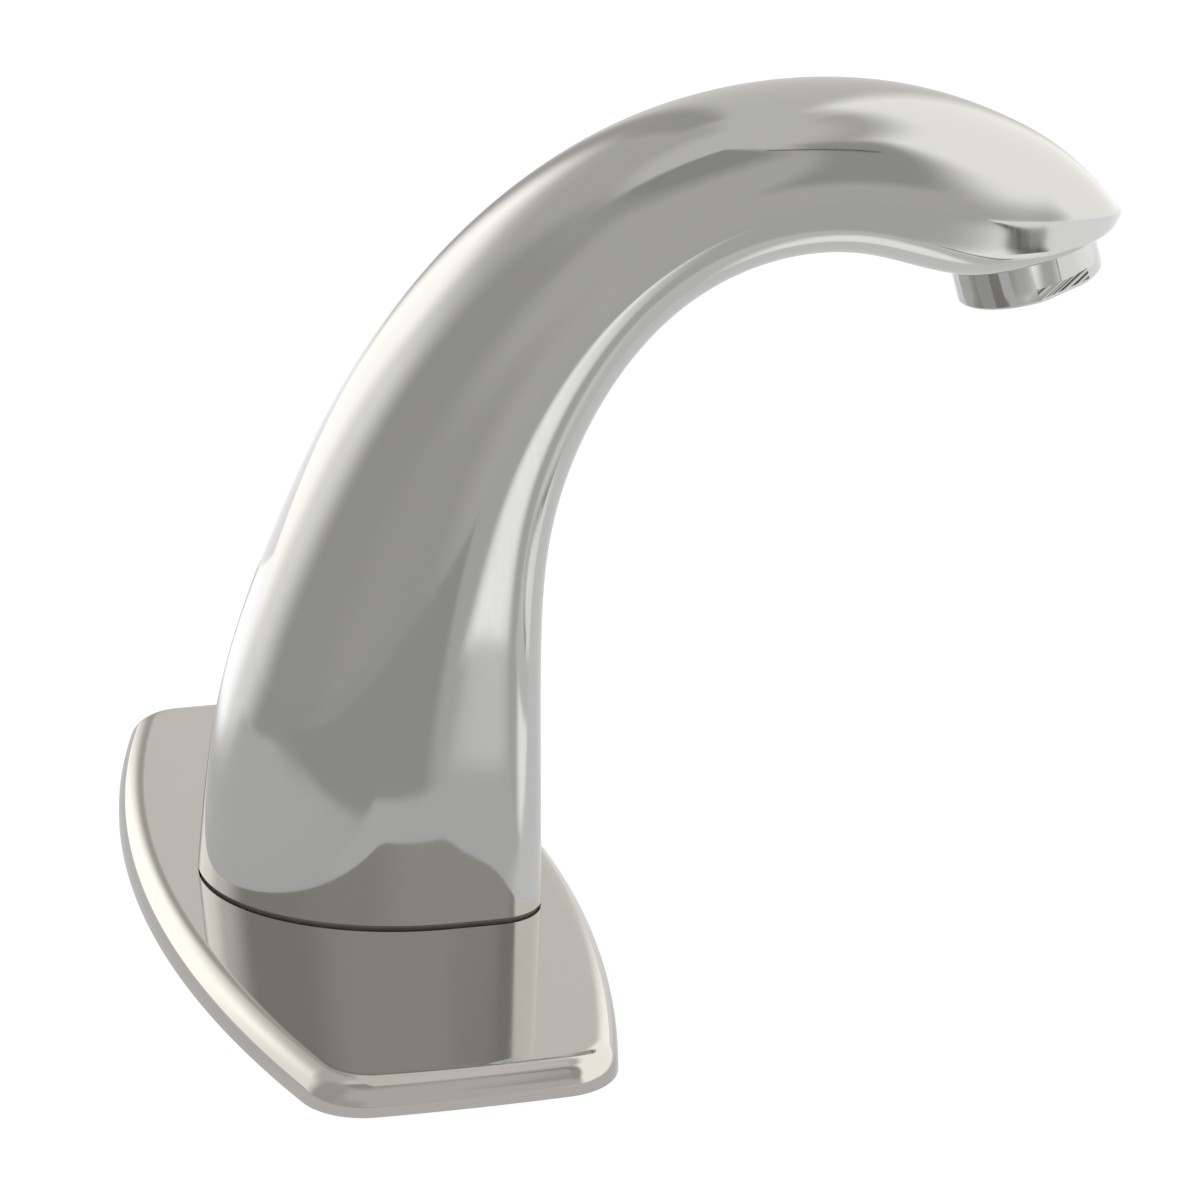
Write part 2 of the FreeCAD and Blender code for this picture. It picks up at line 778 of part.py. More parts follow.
def make_aerator_shell():
    shell = cylinder(aerator_radius, 0.0, aerator_shell_top)
    low_rim = [e for e in shell.Edges if max(v.Z for v in e.Vertexes) < aerator_shell_top / 2.0]
    shell = shell.makeFillet(aerator_rim_radius, low_rim)
    shell = shell.fuse(cylinder(aerator_thread_radius, aerator_shell_top - over, aerator_thread_top))
    shell = shell.cut(cylinder(aerator_mouth_radius, -over, aerator_thread_top + over))
    shell = shell.cut(cylinder(aerator_bore, aerator_lip, aerator_thread_top + over))
    flat_x = wrench_flat_width / 2.0
    past = aerator_radius + over
    for low_x, high_x in ((flat_x, past), (-past, -flat_x)):
        flat = box_between((low_x, -past, -over), (high_x, past, wrench_flat_height))
        flat.rotate(Vector(0, 0, 0), Vector(0, 0, 1), wrench_flat_turn)
        shell = shell.cut(flat)
    return on_aerator_axis(shell)


def make_aerator_cartridge():
    cartridge = cylinder(aerator_bore - cartridge_side_gap, cartridge_bottom, cartridge_top)
    cup = cylinder(aerator_bore - cartridge_wall, cartridge_floor, cartridge_top + over)
    straws = []
    for x, y in honeycomb(straw_pitch, straw_rings):
        straws.append(cylinder(straw_radius, cartridge_bottom - over, cartridge_top + over, x, y))
    return on_aerator_axis(cartridge.cut(cup).cut(Part.makeCompound(straws)))


def make_aerator_screen():
    screen = cylinder(screen_radius, screen_bottom, screen_top)
    holes = []
    for x, y in honeycomb(screen_pitch, screen_rings):
        holes.append(cylinder(screen_hole_radius, screen_bottom - over, screen_top + over, x, y))
    return on_aerator_axis(screen.cut(Part.makeCompound(holes)))


def make_aerator_washer():
    top = aerator_thread_top + washer_height
    return on_aerator_axis(ring(washer_radius, washer_bore, aerator_thread_top, top))


def make_sensor_window():
    width = window_width - window_gap
    height = window_height - window_gap
    back = -window_depth - window_thickness
    return on_sensor_axis(stadium(width, height, back, -window_depth))


def window_opening(low, high):
    """What the sensor sees through, inside its frame."""
    return stadium(window_width - window_frame, window_height - window_frame, low, high)


def make_sensor_gasket():
    back = -pad_depth
    front = -window_depth - window_thickness
    gasket = stadium(window_width - gasket_inset, window_height - gasket_inset, back, front)
    return on_sensor_axis(gasket.cut(window_opening(back, front)))


def make_sensor_housing():
    front = -pad_depth
    flange_back = front - flange_thickness
    inside_back = case_back + case_wall
    housing = centred_box(flange_half_width, flange_half_height, flange_back, front)
    housing = housing.fuse(centred_box(case_half_width, case_half_height, case_back, front - over))
    room_width = case_half_width - case_wall
    room_height = case_half_height - case_wall
    housing = housing.cut(centred_box(room_width, room_height, inside_back, flange_back))
    housing = housing.cut(window_opening(flange_back - over, front + over))
    cable_radius = sensor_cable_radius + lead_hole_gap
    cable_hole = cylinder(cable_radius, case_back - over, inside_back + over, *cable_hole_place)
    lead_radius = valve_lead_radius + lead_hole_gap
    lead_hole = level_cylinder(lead_radius, case_wall + 2 * over, lead_hole_place, (0, 1, 0))
    housing = housing.cut(cable_hole).cut(lead_hole)
    for side in (-1, 1):
        y = side * sensor_screw_height
        housing = housing.cut(cylinder(sensor_flange_hole, flange_back - over, front + over, 0.0, y))
    return on_sensor_axis(housing)


def make_sensor_screws():
    flange_back = -pad_depth - flange_thickness
    tip = sensor_screw_length - pad_depth
    screws = []
    for side in (-1, 1):
        y = side * sensor_screw_height
        head = cylinder(sensor_head_radius, flange_back - sensor_head_height, flange_back, 0.0, y)
        screws.append(head.fuse(cylinder(sensor_screw_radius, flange_back - join, tip, 0.0, y)))
    return on_sensor_axis(Part.makeCompound(screws))


def make_sensor_board():
    board_back = board_face - board_thickness
    return on_sensor_axis(centred_box(board_half_width, board_half_height, board_back, board_face))


def make_eye(height):
    """A round infrared part with a domed front, standing on the board."""
    post = cylinder(eye_radius, board_face, eye_shoulder, 0.0, height)
    centre = Vector(0, height, eye_shoulder)
    dome = Part.makeSphere(eye_radius, centre, Vector(0, 0, 1), 0, 90, 360)
    return on_sensor_axis(post.fuse(dome).removeSplitter())


def make_sensor_cable():
    return tube_along(sensor_cable_route, sensor_cable_radius)


def make_valve_lead():
    return tube_along(valve_lead_route, valve_lead_radius)


nodes = {
    "deck_plate": make_deck_plate,
    "deck_gasket": make_deck_gasket,
    "spout_body": make_spout_body,
    "spout_seal": make_spout_seal,
    "base_insert": make_base_insert,
    "base_screws": make_base_screws,
    "mounting_shank": make_mounting_shank,
    "rubber_washer": make_rubber_washer,
    "steel_washer": make_steel_washer,
    "mounting_nut": make_mounting_nut,
    "shank_plug": make_shank_plug,
    "power_socket": make_power_socket,
    "inlet_tube": make_inlet_tube,
    "inlet_nipple": make_inlet_nipple,
    "inlet_strainer": make_inlet_strainer,
    "valve_body": make_valve_body,
    "valve_diaphragm": make_valve_diaphragm,
    "diaphragm_insert": make_diaphragm_insert,
    "valve_bonnet": make_valve_bonnet,
    "bonnet_screws": make_bonnet_screws,
    "valve_coil": make_valve_coil,
    "coil_retainer": make_coil_retainer,
    "valve_plunger": make_valve_plunger,
    "plunger_spring": make_plunger_spring,
    "water_tube": make_water_tube,
    "tube_seal": make_tube_seal,
    "aerator_shell": make_aerator_shell,
    "aerator_cartridge": make_aerator_cartridge,
    "aerator_screen": make_aerator_screen,
    "aerator_washer": make_aerator_washer,
    "sensor_window": make_sensor_window,
    "sensor_gasket": make_sensor_gasket,
    "sensor_housing": make_sensor_housing,
    "sensor_screws": make_sensor_screws,
    "sensor_board": make_sensor_board,
    "infrared_emitter": lambda: make_eye(eye_height),
    "infrared_receiver": lambda: make_eye(-eye_height),
    "sensor_cable": make_sensor_cable,
    "valve_lead": make_valve_lead,
}

os.makedirs("parts", exist_ok=True)
for name, make in nodes.items():
    shape = make()
    solids = len(shape.Solids)
    print(name, "solids", solids, "volume", round(shape.Volume, 1), "valid", shape.isValid())
    shape.exportStep("parts/" + name + ".step")
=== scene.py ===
import json
import math

import bmesh
import bpy
import numpy as np
from mathutils import Matrix, Vector
from mathutils.bvhtree import BVHTree


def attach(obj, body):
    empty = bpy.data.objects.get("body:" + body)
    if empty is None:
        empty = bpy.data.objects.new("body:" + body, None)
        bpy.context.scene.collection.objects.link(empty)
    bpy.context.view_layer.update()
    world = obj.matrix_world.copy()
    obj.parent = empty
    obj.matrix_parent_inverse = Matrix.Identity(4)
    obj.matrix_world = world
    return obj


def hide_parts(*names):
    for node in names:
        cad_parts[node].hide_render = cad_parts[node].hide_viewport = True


# Chrome sensor tap on a long cover plate, seen from its left and a little from behind.
# Metres, +Z up, and the spout reaches towards -Y.  Sizes written in mm are multiplied by mm.

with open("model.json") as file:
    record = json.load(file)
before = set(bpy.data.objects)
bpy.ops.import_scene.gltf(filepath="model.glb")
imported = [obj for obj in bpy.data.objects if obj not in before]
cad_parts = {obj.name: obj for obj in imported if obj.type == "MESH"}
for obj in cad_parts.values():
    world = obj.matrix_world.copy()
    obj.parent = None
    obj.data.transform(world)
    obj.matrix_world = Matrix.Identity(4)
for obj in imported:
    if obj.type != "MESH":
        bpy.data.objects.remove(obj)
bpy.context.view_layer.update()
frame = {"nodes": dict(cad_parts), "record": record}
mm = 0.001
print("frame loaded with", len(frame["nodes"]), "nodes")


def srgb(hexText):
    values = [int(hexText[i:i + 2], 16) / 255 for i in (1, 3, 5)]
    linear = [v / 12.92 if v <= 0.04045 else ((v + 0.055) / 1.055) ** 2.4 for v in values]
    return (*linear, 1.0)


def newMesh(name, verts, faces):
    mesh = bpy.data.meshes.new(name)
    mesh.from_pydata([tuple(v) for v in verts], [], faces)
    mesh.update()
    mesh.polygons.foreach_set("use_smooth", [True] * len(mesh.polygons))
    obj = bpy.data.objects.new(name, mesh)
    bpy.context.scene.collection.objects.link(obj)
    return obj


def ringFaces(first, second, columns):
    # faces between two rings that start at any two points of the mesh
    return [(first + c, first + (c + 1) % columns, second + (c + 1) % columns, second + c)
            for c in range(columns)]


def gridFaces(rows, columns):
    # faces between rows of points, where each row is a closed ring
    return [face for r in range(rows - 1) for face in ringFaces(r * columns, (r + 1) * columns, columns)]


def faceOutwards(obj):
    bm = bmesh.new()
    bm.from_mesh(obj.data)
    bmesh.ops.recalc_face_normals(bm, faces=bm.faces)
    bm.to_mesh(obj.data)
    bm.free()


def cutWith(obj, cutters):
    # exact booleans, applied at once, so that no modifier stays on the piece
    for cutter in cutters:
        step = obj.modifiers.new("cut", "BOOLEAN")
        step.operation = "DIFFERENCE"
        step.solver = "EXACT"
        step.object = cutter
    bpy.context.view_layer.update()
    evaluated = obj.evaluated_get(bpy.context.evaluated_depsgraph_get())
    cutMesh = bpy.data.meshes.new_from_object(evaluated)
    obj.modifiers.clear()
    oldMesh = obj.data
    obj.data = cutMesh
    bpy.data.meshes.remove(oldMesh)
    for cutter in cutters:
        bpy.data.objects.remove(cutter)


def keepNormals(obj, skinPoints, skinFaces, normals, reach=0.02 * mm, least=0.0001 * mm, alike=0.6):
    # Chrome shows every facet, so a face whose corners all lie within reach of the given skin, and
    # that points much the way the skin does, takes the skin's normals.  Other faces stay flat.
    mesh = obj.data
    mesh.polygons.foreach_set("use_smooth", [True] * len(mesh.polygons))
    tree = BVHTree.FromPolygons([tuple(p) for p in skinPoints], skinFaces)
    found = {}
    for vertex in mesh.vertices:
        place, _, index, distance = tree.find_nearest(vertex.co)
        if index is None or distance > reach:
            continue
        total = Vector((0, 0, 0))
        for corner in skinFaces[index]:
            near = (Vector(skinPoints[corner]) - place).length + least
            total += Vector(normals[corner]) / near
        found[vertex.index] = total.normalized()
    loopNormals = []
    for polygon in mesh.polygons:
        onSkin = all(i in found and polygon.normal.dot(found[i]) > alike for i in polygon.vertices)
        for i in polygon.vertices:
            loopNormals.append(found[i] if onSkin else polygon.normal.copy())
    mesh.normals_split_custom_set(loopNormals)


def naturalSpline(xs, ys, at):
    # natural cubic spline through (xs, ys), read at the places in at
    n = len(xs)
    h = np.diff(xs)
    a = np.zeros((n, n))
    b = np.zeros(n)
    a[0, 0] = 1.0
    a[-1, -1] = 1.0
    for i in range(1, n - 1):
        a[i, i - 1:i + 2] = h[i - 1], 2 * (h[i - 1] + h[i]), h[i]
        b[i] = 6 * ((ys[i + 1] - ys[i]) / h[i] - (ys[i] - ys[i - 1]) / h[i - 1])
    m = np.linalg.solve(a, b)
    i = np.clip(np.searchsorted(xs, at) - 1, 0, n - 2)
    left = at - xs[i]
    right = xs[i + 1] - at
    cubic = (m[i] * right ** 3 + m[i + 1] * left ** 3) / (6 * h[i])
    straight = (ys[i] / h[i] - m[i] * h[i] / 6) * right + (ys[i + 1] / h[i] - m[i + 1] * h[i] / 6) * left
    return cubic + straight


def tilted(point, angle, origin):
    # a point in mm turned about X by degrees and moved to an origin given as (Y, Z), in metres
    x, y, z = point
    c = math.cos(math.radians(angle))
    s = math.sin(math.radians(angle))
    return (x * mm, (y * c - z * s + origin[0]) * mm, (y * s + z * c + origin[1]) * mm)


def prism(name, outline, low, high, angle, origin):
    count = len(outline)
    verts = [tilted((x, y, h), angle, origin) for h in (low, high) for x, y in outline]
    faces = gridFaces(2, count) + [tuple(range(count))[::-1], tuple(range(count, 2 * count))]
    obj = newMesh(name, verts, faces)
    faceOutwards(obj)
    return obj


def circle(radius, count=160):
    turns = [2 * math.pi * k / count for k in range(count)]
    return [(radius * math.cos(t), radius * math.sin(t)) for t in turns]


def stadium(width, height, count=48):
    radius = width / 2
    straight = (height - width) / 2
    turns = [math.pi * k / count for k in range(count + 1)]
    top = [(radius * math.cos(t), straight + radius * math.sin(t)) for t in turns]
    return top + [(-x, -y) for x, y in top]


aerator = {
    "rimPlace": (-112.1, 96.2),      # (Y, Z) of the middle of the outlet's rim, mm
    "tilt": 17.65,                   # degrees, the outlet leans back towards the stem
    "radius": 12.0,
    "shellTop": 8.2,
    "threadRadius": 10.95,
    "threadTop": 13.5,
    "threadPitch": 1.0,
    "threadDepth": 0.45,
    "mouthRadius": 8.6,
    "mouthBevel": 0.3,
    "bore": 9.6,
    "lip": 1.2,
    "rimRadius": 0.5,
    "rimSteps": 7,
    "topBevel": 0.2,
    "threadShape": ((0.15, 1.0), (0.45, 0.0), (0.6, 0.0), (0.9, 1.0)),   # shares of the pitch and depth
    "flatWidth": 22.0,               # across the two wrench flats
    "flatHeight": 2.4,
    "flatTurn": 9.0,                 # degrees
    "leastCosine": 0.001,            # beside the flats, where they don't reach the ring
    "sharpAngle": 28.0,              # degrees, above which an edge is shaded sharp
    "around": 240,
}

spout = {
    # outer Y, outer Z, inner Y, inner Z, half width, corner radius, bow of the inner face, in mm
    "stations": [
        (24.4, 5.5, -27.4, 5.5, 28.7, 8.0, 1.4),
        (20.8, 33.8, -27.2, 24.1, 27.6, 7.6, 1.4),
        (11.6, 61.3, -26.9, 45.4, 26.2, 7.2, 1.3),
        (-0.2, 84.9, -28.5, 65.5, 24.6, 6.8, 1.2),
        (-17.4, 106.4, -36.6, 85.0, 23.0, 6.4, 1.1),
        (-42.4, 123.3, -52.2, 100.2, 21.6, 6.0, 1.0),
        (-76.0, 130.1, -77.7, 104.7, 20.3, 5.0, 0.9),
        (-98.9, 126.3, -96.4, 100.7, 19.2, 4.6, 0.6),
        (-107.6, 122.8, -104.5, 101.8, 18.3, 3.4, 0.4),
        (-114.3, 119.1, -111.5, 103.9, 17.3, 1.8, 0.3),
        (-119.6, 114.8, -117.3, 105.7, 15.0, 1.2, 0.2),
        (-123.3, 111.1, -121.7, 106.9, 10.6, 0.8, 0.1),
        (-125.6, 108.9, -124.8, 107.7, 5.2, 0.4, 0.0),
        (-126.5, 108.1, -126.1, 107.7, 2.2, 0.15, 0.0),
    ],
    "wideShare": 0.35,               # where the section is widest, from the inner face
    "leastCorner": 0.15,
    "leastSide": 0.1,
    "flatPoints": 24,
    "cornerPoints": 16,
    "sidePoints": 6,
    "backPoints": 66,
    "along": 260,                    # sections from the foot to the nose
    "easing": 3,                     # passes that ease the section's tangent joins, as polishing does
    "wall": 3.2,
    "cavityStations": 7,
    "cavityEnd": (-89.5, 128.6, -87.8, 102.6, 19.7, 5.3, 0.8),
    "cavityAlong": 60,
    "windowWidth": 13.0,
    "windowHeight": 20.0,
    "windowTilt": 12.0,              # degrees
    "windowPlace": (-28.6, 66.0),    # (Y, Z) of the sensor window's middle, mm
    "windowDepths": (-9.0, 6.0),
    # heights of the outlet's cuts along its axis, from the aerator's rim
    "outletGap": 0.3,
    "outletHeights": (-4.0, aerator["shellTop"] + 0.2),
    "threadGap": 0.05,
    "threadHeights": (6.0, aerator["threadTop"] + 1.6),
    "waterRadius": 6.5,
    "waterHeights": (14.0, 19.6),
}


def sectionOutline(halfWidth, depth, corner, bow):
    # points (x, u) round the D-shaped section, where u runs from the inner face to the outer back
    flat = halfWidth - corner
    widest = max(spout["wideShare"] * depth, bow + corner + spout["leastSide"])
    half = [(x, bow * (x / flat) ** 2) for x in np.linspace(0, flat, spout["flatPoints"])[:-1]]
    for a in np.linspace(0, math.pi / 2, spout["cornerPoints"]):
        half.append((flat + corner * math.sin(a), bow + corner * (1 - math.cos(a))))
    for u in np.linspace(bow + corner, widest, spout["sidePoints"] + 2)[1:-1]:
        half.append((halfWidth, u))
    for a in np.linspace(0, math.pi / 2, spout["backPoints"]):
        half.append((halfWidth * math.cos(a), widest + (depth - widest) * math.sin(a)))
    half = np.array(half)
    points = np.vstack([half, (half * [-1, 1])[::-1][1:-1]])
    for _ in range(spout["easing"]):
        points = 0.25 * np.roll(points, 1, 0) + 0.5 * points + 0.25 * np.roll(points, -1, 0)
    return points


def spoutSkin(stations, along, inset=0.0):
    # rows of points through the stations, and inset moves the whole skin inwards
    rows = np.array(stations)
    middle = (rows[:, :2] + rows[:, 2:4]) / 2
    run = np.concatenate([[0], np.cumsum(np.hypot(*np.diff(middle, axis=0).T))])
    at = np.linspace(0, run[-1], along)
    table = np.stack([naturalSpline(run, rows[:, k], at) for k in range(rows.shape[1])], 1)
    skin = []
    for outerY, outerZ, innerY, innerZ, halfWidth, corner, bow in table:
        inner = np.array([innerY, innerZ])
        outer = np.array([outerY, outerZ])
        depth = np.hypot(*(outer - inner))
        across = (outer - inner) / depth
        corner = max(corner - inset, spout["leastCorner"])
        outline = sectionOutline(halfWidth - inset, depth - 2 * inset, corner, max(bow, 0.0))
        placed = inner + (outline[:, 1:2] + inset) * across
        skin.append(np.column_stack([outline[:, 0], placed]))
    return np.array(skin) * mm


def skinNormals(skin):
    around = np.roll(skin, -1, 1) - np.roll(skin, 1, 1)
    along = np.gradient(skin, axis=0)
    normals = np.cross(around, along)
    normals /= np.linalg.norm(normals, axis=2, keepdims=True) + 1e-12
    row = len(skin) // 2
    outwards = skin[row, 0] - skin[row].mean(0)
    return normals if np.dot(normals[row, 0], outwards) > 0 else -normals


def makeSpout():
    outer = spoutSkin(spout["stations"], spout["along"])
    cavityRows = spout["stations"][:spout["cavityStations"]] + [spout["cavityEnd"]]
    inner = spoutSkin(cavityRows, spout["cavityAlong"], spout["wall"])
    rows, columns = outer.shape[:2]
    start = rows * columns
    innerRows = inner.shape[0]
    faces = gridFaces(rows, columns)
    faces += [tuple(f + start for f in face) for face in gridFaces(innerRows, columns)]
    faces += ringFaces(0, start, columns)
    faces.append(tuple(range(start - columns, start)))
    faces.append(tuple(range(start + (innerRows - 1) * columns, start + innerRows * columns)))
    piece = newMesh("spout", np.vstack([outer.reshape(-1, 3), inner.reshape(-1, 3)]), faces)
    faceOutwards(piece)
    place = aerator["rimPlace"]
    lean = -aerator["tilt"]
    socket = circle(aerator["radius"] + spout["outletGap"])
    thread = circle(aerator["threadRadius"] + spout["threadGap"])
    water = circle(spout["waterRadius"])
    window = stadium(spout["windowWidth"], spout["windowHeight"])
    cutWith(piece, [
        prism("outletSocket", socket, *spout["outletHeights"], lean, place),
        prism("outletThread", thread, *spout["threadHeights"], lean, place),
        prism("waterWay", water, *spout["waterHeights"], lean, place),
        prism("windowHole", window, *spout["windowDepths"], 90 + spout["windowTilt"], spout["windowPlace"]),
    ])
    keepNormals(piece, outer.reshape(-1, 3), gridFaces(rows, columns), skinNormals(outer).reshape(-1, 3))
    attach(piece, "tap")
    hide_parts("spout_body")
    return piece


print("building the spout")
spoutPiece = makeSpout()


plate = {
    "halfLength": 80.0,
    "endHalfWidth": 21.3,
    "middleHalfWidth": 34.1,
    "endBow": 0.7,
    "cornerRadius": 10.0,
    "height": 5.0,
    "edgeRadius": 4.4,
    "rim": 3.0,
    "skin": 2.0,
    "hole": 13.6,
    "holePoints": 96,
    "sidePoints": 120,
    "endPoints": 28,
    "cornerPoints": 20,
    "edgeSteps": 24,
}


def bowRadius(half, rise):
    return (half ** 2 + rise ** 2) / (2 * rise)


def plateOutline(inset):
    # Rows (x, y, normal x, normal y) round the plan: two long bowed sides, two short bowed ends and
    # four round corners.  The arcs keep their centres at any inset, so that the rings line up.
    sideRadius = bowRadius(plate["halfLength"], plate["middleHalfWidth"] - plate["endHalfWidth"])
    sideCentre = plate["middleHalfWidth"] - sideRadius
    endRadius = bowRadius(plate["endHalfWidth"], plate["endBow"])
    endCentre = plate["halfLength"] + plate["endBow"] - endRadius
    corner = plate["cornerRadius"]
    # the corner's centre lies on both arcs moved in by its radius: where two circles meet
    apart = math.hypot(endCentre, sideCentre)
    fromSide = ((sideRadius - corner) ** 2 - (endRadius - corner) ** 2 + apart ** 2) / (2 * apart)
    aside = math.sqrt((sideRadius - corner) ** 2 - fromSide ** 2)
    towards = np.array([endCentre, -sideCentre]) / apart
    square = np.array([-towards[1], towards[0]])
    meet = np.array([0, sideCentre]) + towards * fromSide
    cornerX, cornerY = max((meet + square * aside, meet - square * aside), key=lambda p: p[0] + p[1])
    sideTurn = math.atan2(cornerX, cornerY - sideCentre)      # radians of the side's arc, from +Y
    endTurn = math.atan2(cornerY, cornerX - endCentre)        # and of the end's arc, from +X
    cornerTurns = np.linspace(endTurn, math.pi / 2 - sideTurn, plate["cornerPoints"])
    arcs = [
        (endCentre, 0.0, endRadius, np.linspace(0, endTurn, plate["endPoints"])[:-1]),
        (cornerX, cornerY, corner, cornerTurns[:-1]),
        (0.0, sideCentre, sideRadius, math.pi / 2 - np.linspace(sideTurn, 0, plate["sidePoints"])),
    ]
    quarter = []
    for x, y, radius, turns in arcs:
        for t in turns:
            c, s = math.cos(t), math.sin(t)
            quarter.append((x + (radius - inset) * c, y + (radius - inset) * s, c, s))
    quarter = np.array(quarter)
    upper = np.vstack([quarter, (quarter * [-1, 1, -1, 1])[::-1][1:]])
    return np.vstack([upper, (upper * [1, -1, 1, -1])[::-1][1:-1]])


def fillWithHole(bm, outlineStart, columns, height):
    # a flat face from a ring of the mesh to the shank's hole, returned as the hole's points
    outline = circle(plate["hole"], plate["holePoints"])
    hole = [bm.verts.new((x * mm, y * mm, height * mm)) for x, y in outline]
    edges = [bm.edges.new((hole[k - 1], hole[k])) for k in range(len(hole))]
    bm.verts.ensure_lookup_table()
    for c in range(columns):
        ends = (bm.verts[outlineStart + c], bm.verts[outlineStart + (c + 1) % columns])
        edges.append(bm.edges.get(ends))
    bmesh.ops.triangle_fill(bm, use_beauty=True, edges=edges)
    return hole


def makePlate():
    # rings up the outside and over the rounded edge, then under the rim and up to the roof
    edge = plate["edgeRadius"]
    shoulder = plate["height"] - edge
    rings = [(0.0, 0.0, 0.0)]       # inset, height, tilt of the normal from level
    for t in np.linspace(0, math.pi / 2, plate["edgeSteps"]):
        rings.append((edge * (1 - math.cos(t)), shoulder + edge * math.sin(t), t))
    skin, normals = [], []
    for inset, height, tilt in rings:
        for x, y, nx, ny in plateOutline(inset):
            skin.append((x * mm, y * mm, height * mm))
            normals.append((nx * math.cos(tilt), ny * math.cos(tilt), math.sin(tilt)))
    roofHeight = plate["height"] - plate["skin"]
    inside = plateOutline(plate["rim"])
    columns = len(inside)
    verts = skin + [(x * mm, y * mm, h * mm) for h in (0.0, roofHeight) for x, y, _, _ in inside]
    skinFaces = gridFaces(len(rings), columns)
    rimStart = len(skin)
    roofStart = rimStart + columns
    piece = newMesh("cover_plate", verts,
                    skinFaces + ringFaces(0, rimStart, columns) + ringFaces(rimStart, roofStart, columns))
    bm = bmesh.new()
    bm.from_mesh(piece.data)
    topHole = fillWithHole(bm, rimStart - columns, columns, plate["height"])
    roofHole = fillWithHole(bm, roofStart, columns, roofHeight)
    for k in range(len(topHole)):
        bm.faces.new((topHole[k - 1], topHole[k], roofHole[k], roofHole[k - 1]))
    bmesh.ops.recalc_face_normals(bm, faces=bm.faces)
    bm.to_mesh(piece.data)
    bm.free()
    keepNormals(piece, skin, skinFaces, normals)
    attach(piece, "tap")
    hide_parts("deck_plate")
    return piece


print("building the cover plate")
platePiece = makePlate()


def ringProfile():
    # (radius, height, cut by the wrench flats) from the mouth round the outside, the thread and the bore
    r = aerator["radius"]
    rim = aerator["rimRadius"]
    lip = aerator["lip"]
    mouth = aerator["mouthRadius"]
    top = aerator["shellTop"]
    root = aerator["threadRadius"] - aerator["threadDepth"]
    bevel = aerator["mouthBevel"]
    topBevel = aerator["topBevel"]
    profile = [(mouth, lip, False), (mouth, bevel, False), (mouth + bevel, 0.0, False)]
    for t in np.linspace(0, math.pi / 2, aerator["rimSteps"]):
        profile.append((r - rim + rim * math.sin(t), rim - rim * math.cos(t), True))
    profile += [(r, aerator["flatHeight"], True), (r, aerator["flatHeight"], False)]
    profile += [(r, top - topBevel, False), (r - topBevel, top, False), (root, top, False)]
    for k in range(int((aerator["threadTop"] - top) / aerator["threadPitch"])):
        for share, depth in aerator["threadShape"]:
            height = top + (k + share) * aerator["threadPitch"]
            profile.append((aerator["threadRadius"] - depth * aerator["threadDepth"], height, False))
    profile += [(root, aerator["threadTop"], False), (aerator["bore"], aerator["threadTop"], False)]
    profile.append((aerator["bore"], lip, False))
    return profile


def makeAeratorRing():
    profile = ringProfile()
    halfFlat = math.degrees(math.acos(aerator["flatWidth"] / 2 / aerator["radius"]))
    turns = set(np.round(np.linspace(0, 360, aerator["around"], endpoint=False), 4))
    turns |= {round((base + side * halfFlat) % 360, 4) for base in (0, 180) for side in (-1, 1)}
    turns = sorted(turns)
    verts = []
    for radius, height, milled in profile:
        for turn in turns:
            a = math.radians(turn)
            reach = radius
            if milled:
                cosine = max(abs(math.cos(a)), aerator["leastCosine"])
                reach = min(radius, aerator["flatWidth"] / 2 / cosine)
            around = a + math.radians(aerator["flatTurn"])
            point = (reach * math.cos(around), reach * math.sin(around), height)
            verts.append(tilted(point, -aerator["tilt"], aerator["rimPlace"]))
    columns = len(turns)
    faces = gridFaces(len(profile), columns) + ringFaces((len(profile) - 1) * columns, 0, columns)
    piece = newMesh("aerator_ring", verts, faces)
    faceOutwards(piece)
    piece.data.set_sharp_from_angle(angle=math.radians(aerator["sharpAngle"]))
    # the flats' tall faces, below the step where the ring is round again, get the second material
    milledRow = max(k for k, (_, _, milled) in enumerate(profile) if milled) - 1
    for c in range(columns - 1):
        a = (turns[c] + turns[c + 1]) / 2
        if min(abs(a), abs(a - 180), abs(a - 360)) < halfFlat:
            piece.data.polygons[milledRow * columns + c].material_index = 1
    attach(piece, "aerator")
    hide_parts("aerator_shell")
    return piece


print("building the aerator ring")
aeratorPiece = makeAeratorRing()


def addNode(tree, kind, inputs=None, output=0, **settings):
    # adds a node, sets its settings, links or sets its inputs and gives back one of its outputs
    node = tree.nodes.new(kind)
    for key, value in settings.items():
        setattr(node, key, value)
    for key, value in (inputs or {}).items():
        if isinstance(value, bpy.types.NodeSocket):
            tree.links.new(value, node.inputs[key])
        else:
            node.inputs[key].default_value = value
    return node.outputs[output] if node.outputs else node


def startMaterial(name, **values):
    # a new material with its object coordinates and its shader, whose even values are set here
    material = bpy.data.materials.new(name)
    material.use_nodes = True
    tree = material.node_tree
    shader = tree.nodes["Principled BSDF"]
    for key, value in values.items():
        shader.inputs[key.replace("_", " ")].default_value = value
    return material, tree, shader, addNode(tree, "ShaderNodeTexCoord", output="Object")


